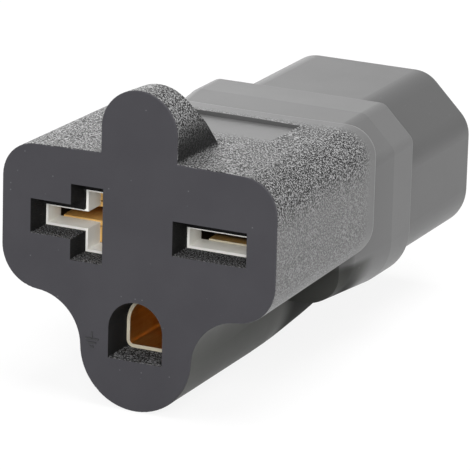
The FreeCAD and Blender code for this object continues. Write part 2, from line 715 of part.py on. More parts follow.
def cut_recess(body):
    """Sunk panel on the top, level with it in front and deepest at its rear wall."""
    rear = f"({HEAD_REAR} - recess_margin)"
    front = f"({rear} - recess_length)"
    wedge = side_sketch(body, "recess_wedge")
    draw_outline(wedge, [
        (front, f"{FACE_TOP} - {front} * tan(head_draft * 1 deg)"),
        (rear, f"{FACE_TOP} - {rear} * tan(head_draft * 1 deg) - recess_depth"),
        (rear, TAB_TOP), (front, TAB_TOP),
    ])
    pocket_across(body, wedge, "recess_width", "recess")


def cut_openings(body):
    """Slots in the face, and the seats of the contact carrier and the ground contact."""
    for name, draw in (("t_slot", draw_t_slot), ("straight_slot", draw_straight_slot)):
        outline = face_sketch(body, f"{name}_outline")
        draw(outline, "0")
        pocket_back(body, outline, "carrier_setback - sill_depth", name)
        lower = face_sketch(body, f"{name}_lower_outline", "carrier_setback - sill_depth")
        draw(lower, "0", "sill_drop")
        pocket_back(body, lower, "sill_depth", f"{name}_lower")
    ground = face_sketch(body, "ground_outline")
    draw_ground_hole(ground)
    pocket_back(body, ground, "ground_seat", "ground_socket")
    sleeve_seat = face_sketch(body, "sleeve_seat_outline", "ground_seat")
    draw_sleeve(sleeve_seat, "0")
    pocket_back(body, sleeve_seat, "ground_length", "sleeve_seat")
    seat = face_sketch(body, "carrier_seat_outline", "carrier_setback")
    draw_carrier(seat)
    pocket_back(body, seat, f"{COVER_REAR} - carrier_setback", "carrier_seat")


def make_contact_carrier():
    """White insert behind the face: lined slots in front, contact chambers behind them."""
    body = new_body("contact_carrier")
    outline = face_sketch(body, "carrier_outline", "carrier_setback")
    draw_carrier(outline)
    pad_back(body, outline, f"{CARRIER_REAR} - carrier_setback", "carrier_block")
    for name, draw in (("t_liner", draw_t_slot), ("straight_liner", draw_straight_slot)):
        liner = face_sketch(body, f"{name}_outline", "carrier_setback")
        draw(liner, "liner_rim", "sill_drop")
        pocket_back(body, liner, "liner_depth", name)
    near, far = f"({SLOT_INNER} - chamber_margin)", f"({SLOT_OUTER} + chamber_margin)"
    chambers = (
        ("t_chamber", f"-{far}", f"-{near}", "0", "(bar_height / 2 + chamber_margin)"),
        ("straight_chamber", near, far, BLADE_LEVEL, f"({LIP_OUTSIDE} + lip_room)"),
    )
    for name, left, right, level, half in chambers:
        chamber = face_sketch(body, f"{name}_outline", CHAMBER_FRONT)
        draw_box(chamber, left, right, f"{level} - {half}", f"{level} + {half}")
        pocket_back(body, chamber, f"{CARRIER_REAR} - {CHAMBER_FRONT}", name)
    return body


def make_carrier_cover():
    """Plate that closes the carrier's chambers and grips the two blade wires."""
    body = new_body("carrier_cover")
    outline = face_sketch(body, "cover_outline", CARRIER_REAR)
    draw_carrier(outline)
    pad_back(body, outline, "cover_depth", "cover_plate")
    holes = face_sketch(body, "wire_hole_outline", CARRIER_REAR)
    for centre in (f"-{SLOT_CENTRE}", SLOT_CENTRE):
        draw_circle(holes, centre, BLADE_LEVEL, INSULATION_RADIUS)
    pocket_back(body, holes, "cover_depth", "wire_holes")
    return body


def add_barrel(body, across, up, front, open_in_front=False):
    """Adds a crimp barrel with a blind bore for the conductor."""
    ring = face_sketch(body, "barrel_outline", front)
    draw_circle(ring, across, up, BARREL_RADIUS)
    pad_back(body, ring, "barrel_depth", "barrel")
    bore = face_sketch(body, "bore_outline", front if open_in_front else f"{front} + barrel_depth")
    draw_circle(bore, across, up, "conductor_radius")
    cut_bore = pocket_back if open_in_front else pocket_forward
    cut_bore(body, bore, "barrel_depth - barrel_web", "bore")


def make_straight_contact():
    """Brass contact of the straight slot: one pair of level leaves and a crimp barrel."""
    body = new_body("straight_slot_contact")
    profile = side_sketch(body, "leaf_profile", SLOT_CENTRE)
    draw_leaf_pair(profile, BLADE_LEVEL, "level_lip_gap")
    pad_across(body, profile, "slot_width - 2 * straight_inset", "leaves")
    add_barrel(body, SLOT_CENTRE, BLADE_LEVEL, WEB_REAR)
    return body


def make_t_contact():
    """Brass contact of the T-slot: split upright leaves, level leaves and a crimp barrel."""
    body = new_body("t_slot_contact")
    uprights = sketch_on(body, "XY_Plane", "upright_profile", BLADE_LEVEL)
    draw_leaf_pair(uprights, f"-{BAR_CENTRE}", "upright_lip_gap", upright=True)
    pad_across(body, uprights, "bar_height - sill_drop - 2 * upright_inset", "upright_leaves")
    split = side_sketch(body, "split_profile", f"-{BAR_CENTRE}")
    split_half = f"({LIP_OUTSIDE} + split_room)"
    draw_box(split, f"{CHAMBER_FRONT} - contact_sheet", f"{WEB_REAR} - contact_sheet",
             f"{BLADE_LEVEL} - {split_half}", f"{BLADE_LEVEL} + {split_half}")
    pocket_across(body, split, "2 * upright_lip_gap + 4 * contact_sheet", "split")
    inner = f"({BAR_CENTRE} + {LEAF_OUTSIDE} - leaf_lap)"
    outer = f"({SLOT_OUTER} - level_inset)"
    levels = side_sketch(body, "level_profile", f"-({inner} + {outer}) / 2")
    draw_leaf_pair(levels, BLADE_LEVEL, "level_lip_gap")
    pad_across(body, levels, f"{outer} - {inner}", "level_leaves")
    add_barrel(body, f"-{SLOT_CENTRE}", BLADE_LEVEL, WEB_REAR)
    return body


def make_ground_contact():
    """Brass sleeve of the ground socket, closed at the rear, with a crimp barrel."""
    body = new_body("ground_contact")
    outside = face_sketch(body, "sleeve_outline", "ground_seat")
    draw_sleeve(outside, "0")
    pad_back(body, outside, "ground_length", "sleeve")
    inside = face_sketch(body, "sleeve_bore", "ground_seat")
    draw_sleeve(inside, "ground_sheet")
    pocket_back(body, inside, "ground_length - ground_sheet", "sleeve_hollow")
    add_barrel(body, "0", "-ground_drop", GROUND_REAR)
    return body


def make_pin_carrier():
    """Insulator at the floor of the inlet, with a slot for each pin."""
    body = new_body("pin_carrier")
    outline = face_sketch(body, "pin_carrier_outline", PIN_CARRIER_FRONT)
    draw_cavity(outline)
    pad_back(body, outline, "pin_carrier_depth", "pin_plate")
    for name, across, level, _ in PINS:
        slot = face_sketch(body, f"{name}_slot_outline", PIN_CARRIER_FRONT)
        draw_pin(slot, across, level)
        pocket_back(body, slot, "pin_carrier_depth", f"{name}_slot")
    return body


def make_pin(name, across, level, reach):
    """Flat inlet pin with a bevelled tip, and a crimp barrel in front of the pin carrier."""
    body = new_body(name)
    add_barrel(body, across, level, PIN_BARREL_FRONT, open_in_front=True)
    outline = face_sketch(body, "pin_outline", PIN_CARRIER_FRONT)
    draw_pin(outline, across, level)
    pad_back(body, outline, f"pin_carrier_depth + {reach}", "blade")
    dress_edges(body, "Chamfer", "pin_tip", "tip", lies_at(f"{CAVITY_FLOOR} + {reach}"))
    return body


def stand_backward(item, x, y, z):
    """Turns a round primitive to point to the rear and ties its place to expressions."""
    item.Placement = FreeCAD.Placement(Vector(), BACKWARD)
    for axis, expression in (("x", x), ("y", y), ("z", z)):
        item.setExpression(f"Placement.Base.{axis}", tied(expression))


def sweep_wire(name, radius, start, bend_start, bend_end, end):
    """Round rod with straight ends joined by two equal arcs in one slanted plane.

    The four places are (x, y, z) expressions; the ends point to the rear.
    """
    first, last = place(*bend_start), place(*bend_end)
    back = Vector(0, 1, 0)
    span = last.y - first.y
    aside = last - first - back * span
    turn = 2 * math.atan2(aside.Length, span)
    bend_radius = span / (2 * math.sin(turn))
    aside.normalize()
    middle = (first + last) / 2
    bulge = back * (bend_radius * math.sin(turn / 2)) + aside * (bend_radius * (1 - math.cos(turn / 2)))
    spine = doc.addObject("Part::Feature", f"{name}_path")
    spine.Shape = Part.Wire([
        Part.LineSegment(place(*start), first).toShape(),
        Part.Arc(first, first + bulge, middle).toShape(),
        Part.Arc(middle, last - bulge, last).toShape(),
        Part.LineSegment(last, place(*end)).toShape(),
    ])
    section = doc.addObject("Part::Circle", f"{name}_section")
    section.setExpression("Radius", tied(radius))
    stand_backward(section, *start)
    sweep = doc.addObject("Part::Sweep", name)
    sweep.Sections = [section]
    sweep.Spine = (spine, [f"Edge{i}" for i in range(1, len(spine.Shape.Edges) + 1)])
    sweep.Solid = True
    doc.recompute()
    return sweep


def make_wire(name, across, up, barrel, bend_from, end_across, end_up):
    """Conductor and insulation of one wire, and the solid rod that the insulation is cut from."""
    bends = (
        (across, f"{bend_from} + wire_stub", up),
        (end_across, f"{PIN_BARREL_FRONT} - wire_stub", end_up),
    )
    bare_start = (across, f"{barrel} + barrel_web", up)
    bare_end = (end_across, f"{PIN_CARRIER_FRONT} - barrel_web", end_up)
    conductor = sweep_wire(f"{name}_conductor", "conductor_radius", bare_start, *bends, bare_end)
    rod_start = (across, f"{barrel} + barrel_depth", up)
    rod_end = (end_across, PIN_BARREL_FRONT, end_up)
    rod = sweep_wire(f"{name}_rod", INSULATION_RADIUS, rod_start, *bends, rod_end)
    insulation = doc.addObject("Part::Cut", f"{name}_insulation")
    insulation.Base = rod
    insulation.Tool = conductor
    doc.recompute()
    return conductor, insulation, rod


def make_barrel_space(name, across, front, up):
    """Room that a crimp barrel takes in the moulding."""
    space = doc.addObject("Part::Cylinder", name)
    space.setExpression("Radius", tied(BARREL_RADIUS))
    space.setExpression("Height", tied("barrel_depth"))
    stand_backward(space, across, front, up)
    return space


def make_outer_shell(rods):
    """Moulding closed round the wires and the crimp barrels."""
    spaces = [make_barrel_space(f"{name}_space", across, PIN_BARREL_FRONT, level)
              for name, across, level, _ in PINS]
    spaces.append(make_barrel_space("ground_space", "0", GROUND_REAR, "-ground_drop"))
    inserts = doc.addObject("Part::MultiFuse", "moulded_in")
    inserts.Shapes = rods + spaces
    shell = doc.addObject("Part::Cut", "outer_shell")
    shell.Base = make_shell_form()
    shell.Tool = inserts
    doc.recompute()
    return shell


def write_pieces(pieces):
    """Checks the document and every piece, then writes one file for each piece."""
    for item in doc.Objects:
        if "Invalid" in item.State or "Error" in item.State:
            raise RuntimeError(f"{item.Name} failed: {item.State}")
    for piece in pieces:
        if piece.Shape.isNull() or not piece.Shape.isValid() or len(piece.Shape.Solids) != 1:
            raise RuntimeError(f"{piece.Label} is not one valid solid")
    os.makedirs("parts", exist_ok=True)
    for piece in pieces:
        piece.Shape.exportStep(f"parts/{piece.Label}.step")
        print(f"{piece.Label}: {piece.Shape.Volume:.1f} mm3")


def main():
    """Builds every piece and writes it."""
    wires = [make_wire(*wire) for wire in WIRES]
    pieces = [make_outer_shell([rod for _, _, rod in wires])]
    pieces += [make_contact_carrier(), make_carrier_cover()]
    pieces += [make_straight_contact(), make_t_contact(), make_ground_contact()]
    pieces.append(make_pin_carrier())
    pieces += [make_pin(*pin) for pin in PINS]
    for conductor, insulation, _ in wires:
        pieces += [conductor, insulation]
    doc.recompute()
    write_pieces(pieces)


main()
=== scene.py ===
"""Studio scene of an in-line power adapter.

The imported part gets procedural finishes, a sign on its face and a smooth skin under its lobe, and
floor, lamps and camera are set as in the photograph. Lengths are in metres, and in millimetres
where a name or text says so.
"""
import logging
import math
from collections.abc import Callable, Iterable, Sequence
from dataclasses import dataclass, field
from enum import Enum

import bmesh
import bpy
from mathutils import Matrix, Vector


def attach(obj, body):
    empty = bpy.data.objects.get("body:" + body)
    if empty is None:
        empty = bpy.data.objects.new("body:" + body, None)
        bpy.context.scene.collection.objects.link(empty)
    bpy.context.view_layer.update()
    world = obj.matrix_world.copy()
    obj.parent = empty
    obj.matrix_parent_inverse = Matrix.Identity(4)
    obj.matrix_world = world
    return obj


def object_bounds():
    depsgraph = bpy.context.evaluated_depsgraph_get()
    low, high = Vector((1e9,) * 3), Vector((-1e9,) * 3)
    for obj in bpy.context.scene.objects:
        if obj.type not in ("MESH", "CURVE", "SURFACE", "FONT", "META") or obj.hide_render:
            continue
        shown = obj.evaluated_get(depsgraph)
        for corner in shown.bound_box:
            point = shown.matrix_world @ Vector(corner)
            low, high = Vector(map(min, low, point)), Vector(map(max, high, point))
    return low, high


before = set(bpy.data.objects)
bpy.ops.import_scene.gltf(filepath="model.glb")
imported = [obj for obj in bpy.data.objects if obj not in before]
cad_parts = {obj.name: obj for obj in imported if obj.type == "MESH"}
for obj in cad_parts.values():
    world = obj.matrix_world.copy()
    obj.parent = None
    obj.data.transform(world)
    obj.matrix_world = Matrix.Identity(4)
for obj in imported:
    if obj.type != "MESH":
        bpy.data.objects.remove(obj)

CAD_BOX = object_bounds()
LOG = logging.getLogger("power_adapter")
MM = 0.001
Colour = tuple[float, float, float]
Point = tuple[float, float, float]
# A span is where a mask starts to change and where it has changed.
Span = tuple[float, float]
Socket = bpy.types.NodeSocket
Value = bpy.types.NodeSocket | float


class Effect(Enum):
    """Surface effects that the finishes share, each one a node group."""

    GRAIN = "spark_grain"
    HAZE = "moulding_haze"
    SPECKS = "light_specks"
    LINES = "rolled_lines"


class Zone(Enum):
    """Parts of the moulded shell that differ in colour or texture, some of them by painted shade or
    painted glints.
    """

    FACE = "face"
    INNER = "inner"
    LEDGE = "ledge"
    PANEL = "panel"
    # Painted shade on the tab's lower flanks, where the tab meets the head's top.
    TAB = "tab"
    # Lower sides, where the grain's painted glints and painted pit shade are milder.
    SIDE = "side"
    LOBE = "lobe"
    # Painted shadow under the head's overhang, between the lobe and the block.
    UNDER_SHADOW = "under"
    HEAD = "head"
    SHROUD = "shroud"
    # The shroud's upper chamfers, which carry painted shade.
    BEVEL = "bevel"
    RIM = "rim"


class Wire(Enum):
    """The three wires, by the start of their nodes' names."""

    LEFT = "left"
    RIGHT = "right"
    EARTH = "earth"


class Graph:
    """Adds nodes to one node tree and links them."""

    def __init__(self, tree: bpy.types.NodeTree) -> None:
        """Takes the tree that the nodes go into."""
        self.tree = tree

    def add(self, kind: str, **settings: object) -> bpy.types.Node:
        """Adds a node.

        Args:
            kind: type name of the node.
            settings: properties of the node, by name.

        Returns:
            The new node.
        """
        node = self.tree.nodes.new(kind)
        for name, value in settings.items():
            setattr(node, name, value)
        return node

    def feed(self, target: Socket, value: Value | Sequence[float]) -> None:
        """Links a socket to an input, or sets the input's own value.

        Args:
            target: the input.
            value: the socket to link, or the value to set.
        """
        if isinstance(value, bpy.types.NodeSocket):
            self.tree.links.new(value, target)
        else:
            target.default_value = value

    def axes(self, place: Socket) -> tuple[Socket, ...]:
        """Splits coordinates.

        Args:
            place: the coordinates.

        Returns:
            X, Y and Z.
        """
        node = self.add("ShaderNodeSeparateXYZ")
        self.feed(node.inputs[0], place)
        return tuple(node.outputs)

    def maths(self, operation: str, *values: Value) -> Socket:
        """Adds a Math node.

        Args:
            operation: name of the operation.
            values: its inputs in order.

        Returns:
            The result.
        """
        node = self.add("ShaderNodeMath", operation=operation)
        for target, value in zip(node.inputs, values):
            self.feed(target, value)
        return node.outputs[0]

    def joined(self, operation: str, *values: Socket) -> Socket:
        """Joins values by one operation, from the first to the last.

        Args:
            operation: name of the operation.
            values: the values.

        Returns:
            The result.
        """
        result = values[0]
        for value in values[1:]:
            result = self.maths(operation, result, value)
        return result

    def product(self, *values: Socket) -> Socket:
        """Multiplies masks."""
        return self.joined("MULTIPLY", *values)

    def largest(self, *values: Socket) -> Socket:
        """Takes the largest of some masks."""
        return self.joined("MAXIMUM", *values)

    def inverse(self, mask: Socket) -> Socket:
        """Turns a mask round."""
        return self.maths("SUBTRACT", 1.0, mask)

    def rise(self, value: Socket, low: float, high: float) -> Socket:
        """Makes a mask that is 0 below low, 1 above high and smooth between them.

        Args:
            value: what the mask follows.
            low: where the mask starts to rise.
            high: where it is full.

        Returns:
            The mask.
        """
        node = self.add("ShaderNodeMapRange", interpolation_type="SMOOTHSTEP")
        self.feed(node.inputs["Value"], value)
        node.inputs["From Min"].default_value = low
        node.inputs["From Max"].default_value = high
        return node.outputs["Result"]

    def fall(self, value: Socket, low: float, high: float) -> Socket:
        """Makes a mask that is 1 below low, 0 above high and smooth between them."""
        return self.inverse(self.rise(value, low, high))

    def blend(self, mask: Socket, first: Socket | Colour, second: Socket | Colour) -> Socket:
        """Mixes two colours.

        Args:
            mask: the share of the second colour.
            first: colour where the mask is 0.
            second: colour where the mask is 1.

        Returns:
            The mixed colour.
        """
        node = self.add("ShaderNodeMix", data_type="RGBA")
        self.feed(node.inputs[0], mask)
        # The Mix node lists its sockets by type: those for colours come after values and vectors.
        for target, colour in ((node.inputs[6], first), (node.inputs[7], second)):
            self.feed(target, colour if isinstance(colour, Socket) else (*colour, 1.0))
        return node.outputs[2]

    def between(self, mask: Socket, first: Value, second: Value) -> Socket:
        """Mixes two values.

        Args:
            mask: the share of the second value.
            first: value where the mask is 0.
            second: value where the mask is 1.

        Returns:
            The mixed value.
        """
        node = self.add("ShaderNodeMix", data_type="FLOAT")
        self.feed(node.inputs[0], mask)
        self.feed(node.inputs[2], first)
        self.feed(node.inputs[3], second)
        return node.outputs[0]

    def noise(self, place: Socket, scale: Value, detail: float) -> Socket:
        """Adds a noise texture.

        Args:
            place: coordinates in millimetres.
            scale: waves per millimetre.
            detail: number of finer layers.

        Returns:
            The noise, about 0.2 to 0.8.
        """
        node = self.add("ShaderNodeTexNoise")
        self.feed(node.inputs["Vector"], place)
        self.feed(node.inputs["Scale"], scale)
        node.inputs["Detail"].default_value = detail
        return node.outputs[0]


def empty_graph(owner: bpy.types.Material | bpy.types.World) -> Graph:
    """Turns on the nodes of a material or the world and empties them.

    Args:
        owner: the material or the world.

    Returns:
        Its empty graph.
    """
    owner.use_nodes = True
    owner.node_tree.nodes.clear()
    return Graph(owner.node_tree)


def add_object(name: str, work: bmesh.types.BMesh) -> bpy.types.Object:
    """Turns a finished bmesh into an object of the scene and frees it.

    Args:
        name: name of the object and its mesh.
        work: the bmesh.

    Returns:
        The object.
    """
    mesh = bpy.data.meshes.new(name)
    work.to_mesh(mesh)
    work.free()
    made = bpy.data.objects.new(name, mesh)
    bpy.context.scene.collection.objects.link(made)
    return made


def edges_of(verts: Iterable[bmesh.types.BMVert]) -> list[bmesh.types.BMEdge]:
    """Lists the edges at some vertices, each one once and always in the same order."""
    return list(dict.fromkeys(edge for vert in verts for edge in vert.link_edges))


class Effects:
    """Builds the shared node groups and adds them to materials."""

    FINE_RATIO: float = 1.7
    GRAIN_STEP: Span = (0.45, 0.60)
    SOFT_STEP: Span = (0.3, 0.7)
    SOFT_DETAIL: float = 3.0
    SPECK_SHARE: Span = (0.86, 0.88)
    SPECK_EDGE: Span = (0.05, 0.12)
    LINE_STRETCH: Point = (1.0, 0.06, 1.0)

    def __init__(self) -> None:
        """Builds every group once."""
        builders = {
            Effect.GRAIN: self.fill_grain,
            Effect.HAZE: self.fill_haze,
            Effect.SPECKS: self.fill_specks,
            Effect.LINES: self.fill_lines,
        }
        self.groups = {effect: self.make_group(effect, fill) for effect, fill in builders.items()}

    @staticmethod
    def make_group(effect: Effect, fill: Callable[[Graph, Socket, Socket], Socket]) -> bpy.types.NodeTree:
        """Makes one group with a place and a scale as inputs and a mask as output.

        Args:
            effect: the effect that the group holds.
            fill: method that adds the nodes between input and output.

        Returns:
            The group's tree.
        """
        tree = bpy.data.node_groups.new(effect.value, "ShaderNodeTree")
        tree.interface.new_socket("Place", in_out="INPUT", socket_type="NodeSocketVector")
        tree.interface.new_socket("Scale", in_out="INPUT", socket_type="NodeSocketFloat")
        tree.interface.new_socket("Mask", in_out="OUTPUT", socket_type="NodeSocketFloat")
        graph = Graph(tree)
        source = graph.add("NodeGroupInput")
        sink = graph.add("NodeGroupOutput")
        mask = fill(graph, source.outputs["Place"], source.outputs["Scale"])
        graph.feed(sink.inputs["Mask"], mask)
        return tree

    def fill_grain(self, graph: Graph, place: Socket, scale: Socket) -> Socket:
        """Fills the grain of a spark-eroded mould: two layers of noise in equal parts.

        Args:
            graph: the group's nodes.
            place: coordinates in millimetres.
            scale: waves per millimetre.

        Returns:
            The mask.
        """
        coarse = graph.noise(place, scale, 0.0)
        fine = graph.noise(place, graph.maths("MULTIPLY", scale, self.FINE_RATIO), 0.0)
        both = graph.maths("MULTIPLY_ADD", fine, 0.5, graph.maths("MULTIPLY", coarse, 0.5))
        return graph.rise(both, *self.GRAIN_STEP)

    def fill_haze(self, graph: Graph, place: Socket, scale: Socket) -> Socket:
        """Fills the broad, faint unevenness of a moulded surface."""
        return graph.rise(graph.noise(place, scale, self.SOFT_DETAIL), *self.SOFT_STEP)

    def fill_specks(self, graph: Graph, place: Socket, scale: Socket) -> Socket:
        """Fills small specks, one in some of the cells of a random pattern.

        Args:
            graph: the group's nodes.
            place: coordinates in millimetres.
            scale: cells per millimetre.

        Returns:
            The mask.
        """
        cells = graph.add("ShaderNodeTexVoronoi", feature="F1")
        graph.feed(cells.inputs["Vector"], place)
        graph.feed(cells.inputs["Scale"], scale)
        parts = graph.add("ShaderNodeSeparateColor")
        graph.feed(parts.inputs["Color"], cells.outputs["Color"])
        chosen = graph.rise(parts.outputs["Red"], *self.SPECK_SHARE)
        return graph.product(graph.fall(cells.outputs["Distance"], *self.SPECK_EDGE), chosen)

    def fill_lines(self, graph: Graph, place: Socket, scale: Socket) -> Socket:
        """Fills the fine lines that rolling leaves along a strip.

        Args:
            graph: the group's nodes.
            place: coordinates in millimetres.
            scale: waves per millimetre across the lines.

        Returns:
            The mask.
        """
        stretch = graph.add("ShaderNodeVectorMath", operation="MULTIPLY")
        graph.feed(stretch.inputs[0], place)
        stretch.inputs[1].default_value = self.LINE_STRETCH
        return graph.rise(graph.noise(stretch.outputs[0], scale, self.SOFT_DETAIL), *self.SOFT_STEP)

    def mask(self, graph: Graph, effect: Effect, place: Socket, scale: float) -> Socket:
        """Adds one effect to a material.

        Args:
            graph: the material's nodes.
            effect: which effect.
            place: coordinates in millimetres.
            scale: waves or cells per millimetre.

        Returns:
            The effect's mask.
        """
        node = graph.add("ShaderNodeGroup", node_tree=self.groups[effect])
        graph.feed(node.inputs["Place"], place)
        node.inputs["Scale"].default_value = scale
        return node.outputs["Mask"]


@dataclass(frozen=True)
class Finish:
    """A procedural material on one Principled shader."""

    name: str

    def make(self, effects: Effects) -> bpy.types.Material:
        """Makes the material.

        Args:
            effects: the shared effects.

        Returns:
            The finished material.
        """
        material = bpy.data.materials.new(self.name)
        graph = empty_graph(material)
        shader = graph.add("ShaderNodeBsdfPrincipled")
        output = graph.add("ShaderNodeOutputMaterial")
        graph.feed(output.inputs["Surface"], shader.outputs["BSDF"])
        scaled = graph.add("ShaderNodeVectorMath", operation="SCALE")
        graph.feed(scaled.inputs[0], graph.add("ShaderNodeTexCoord").outputs["Object"])
        scaled.inputs["Scale"].default_value = 1.0 / MM
        self.dress(graph, shader, scaled.outputs[0], effects)
        return material

    def dress(self, graph: Graph, shader: bpy.types.Node, place: Socket, effects: Effects) -> None:
        """Feeds the shader; each kind of finish has its own way.

        Args:
            graph: the material's nodes.
            shader: the Principled shader.
            place: coordinates in millimetres.
            effects: the shared effects.
        """
        raise NotImplementedError

    @staticmethod
    def raise_relief(graph: Graph, shader: bpy.types.Node, height: Socket, depth: float) -> None:
        """Gives the shader a relief.

        Args:
            graph: the material's nodes.
            shader: the Principled shader.
            height: height of the relief, 0 to 1.
            depth: real depth of the relief.
        """
        bump = graph.add("ShaderNodeBump")
        bump.inputs["Distance"].default_value = depth
        graph.feed(bump.inputs["Height"], height)
        graph.feed(shader.inputs["Normal"], bump.outputs["Normal"])


@dataclass(frozen=True)
class ShellPlaces:
    """Where the zones of the shell lie, in millimetres.

    Reach is measured sideways from the middle, level is height, and front and rear are depths
    behind the face. The head's rear is bowed, and its fade and the rim are measured from there.
    """

    face_rear: Span = (0.06, 0.2)
    opening_front: Span = (0.02, 0.06)
    slot_reach: Span = (15.2, 15.3)
    slot_level: Span = (6.3, 6.4)
    slot_rear: Span = (26.0, 26.1)
    hole_reach: Span = (3.7, 3.8)
    hole_foot: Span = (-15.9, -15.8)
    hole_top: Span = (-8.2, -8.1)
    hole_rear: Span = (23.0, 23.1)
    ledge_levels: tuple[float, ...] = (-2.075, -4.55, -15.53)
    ledge_below: Span = (-0.10, -0.02)
    ledge_above: Span = (0.05, 0.10)
    panel_reach: Span = (9.1, 9.25)
    panel_front: Span = (13.0, 17.0)
    panel_rear: Span = (23.5, 23.6)
    panel_level: Span = (7.0, 7.1)
    # Where the painted shade on the tab's foot lies.
    tab_reach: Span = (5.2, 5.6)
    tab_foot: Span = (8.6, 9.2)
    tab_top: Span = (10.0, 14.5)
    tab_front: Span = (0.1, 0.3)
    side_level: Span = (1.5, 5.5)
    lobe_level: Span = (-9.8, -8.8)
    lobe_rear: Span = (30.5, 34.5)
    tail_level: Span = (-15.6, -15.2)
    tail_rear: Span = (42.0, 43.0)
    # Where the painted shadow under the head's overhang lies.
    under_level: Span = (-9.3, -8.9)
    under_front: Span = (25.0, 30.0)
    under_slope: float = 0.47
    under_reach: Span = (26.5, 29.5)
    head_rear: float = 27.5
    bow_radius: float = 76.0
    head_fade: Span = (-5.5, -2.0)
    rim_front: Span = (-1.2, -0.7)
    rim_rear: Span = (0.0, 0.2)
    shroud_front: Span = (43.6, 44.4)
    bevel_sum: Span = (12.2, 14.0)

    def openings(self, graph: Graph, across: Socket, y: Socket, z: Socket) -> Socket:
        """Makes the mask of the two slots and the ground hole.

        Args:
            graph: the material's nodes.
            across: distance from the middle.
            y: depth behind the face.
            z: height.

        Returns:
            The mask.
        """
        behind_face = graph.rise(y, *self.opening_front)
        slots = graph.product(
            graph.fall(across, *self.slot_reach),
            graph.fall(graph.maths("ABSOLUTE", z), *self.slot_level),
            behind_face,
            graph.fall(y, *self.slot_rear),
        )
        hole = graph.product(
            graph.fall(across, *self.hole_reach),
            graph.rise(z, *self.hole_foot),
            graph.fall(z, *self.hole_top),
            behind_face,
            graph.fall(y, *self.hole_rear),
        )
        return graph.largest(slots, hole)

    def ledges(self, graph: Graph, z: Socket) -> Socket:
        """Makes the mask of the levels at which the floors of the openings lie.

        Args:
            graph: the material's nodes.
            z: height.

        Returns:
            The mask.
        """
        masks = []
        for base in self.ledge_levels:
            above = graph.rise(z, *(base + step for step in self.ledge_below))
            below = graph.fall(z, *(base + step for step in self.ledge_above))
            masks.append(graph.product(above, below))
        return graph.largest(*masks)

    def lobe(self, graph: Graph, y: Socket, z: Socket) -> Socket:
        """Makes the mask of the lobe and its tail.

        Args:
            graph: the material's nodes.
            y: depth behind the face.
            z: height.

        Returns:
            The mask.
        """
        return graph.largest(
            graph.product(graph.fall(z, *self.lobe_level), graph.fall(y, *self.lobe_rear)),
            graph.product(graph.fall(z, *self.tail_level), graph.fall(y, *self.tail_rear)),
        )

    def masks(self, graph: Graph, place: Socket) -> dict[Zone, Socket]:
        """Makes the masks of all zones.

        Args:
            graph: the material's nodes.
            place: coordinates in millimetres.

        Returns:
            A mask for each zone.
        """
        x, y, z = graph.axes(place)
        across = graph.maths("ABSOLUTE", x)
        inner = self.openings(graph, across, y, z)
        lobe = self.lobe(graph, y, z)
        shroud = graph.rise(y, *self.shroud_front)
        bow = graph.maths("DIVIDE", graph.maths("MULTIPLY", x, x), 2.0 * self.bow_radius)
        from_rear = graph.maths("SUBTRACT", graph.maths("SUBTRACT", y, bow), self.head_rear)
        rim = graph.product(graph.rise(from_rear, *self.rim_front), graph.fall(from_rear, *self.rim_rear))
        sweep = graph.maths("MULTIPLY_ADD", y, self.under_slope, across)
        return {
            Zone.FACE: graph.fall(y, *self.face_rear),
            Zone.INNER: inner,
            Zone.LEDGE: graph.product(inner, self.ledges(graph, z)),
            Zone.PANEL: graph.product(
                graph.fall(across, *self.panel_reach),
                graph.rise(y, *self.panel_front),
                graph.fall(y, *self.panel_rear),
                graph.rise(z, *self.panel_level),
            ),
            Zone.TAB: graph.product(
                graph.fall(across, *self.tab_reach),
                graph.rise(z, *self.tab_foot),
                graph.fall(z, *self.tab_top),
                graph.rise(y, *self.tab_front),
            ),
            Zone.SIDE: graph.fall(z, *self.side_level),
            Zone.LOBE: lobe,
            Zone.UNDER_SHADOW: graph.product(
                graph.fall(z, *self.under_level),
                graph.rise(y, *self.under_front),
                graph.fall(sweep, *self.under_reach),
            ),
            Zone.HEAD: graph.fall(from_rear, *self.head_fade),
            Zone.SHROUD: shroud,
            Zone.BEVEL: graph.product(shroud, graph.rise(graph.maths("ADD", across, z), *self.bevel_sum)),
            Zone.RIM: graph.product(rim, graph.inverse(lobe)),
        }


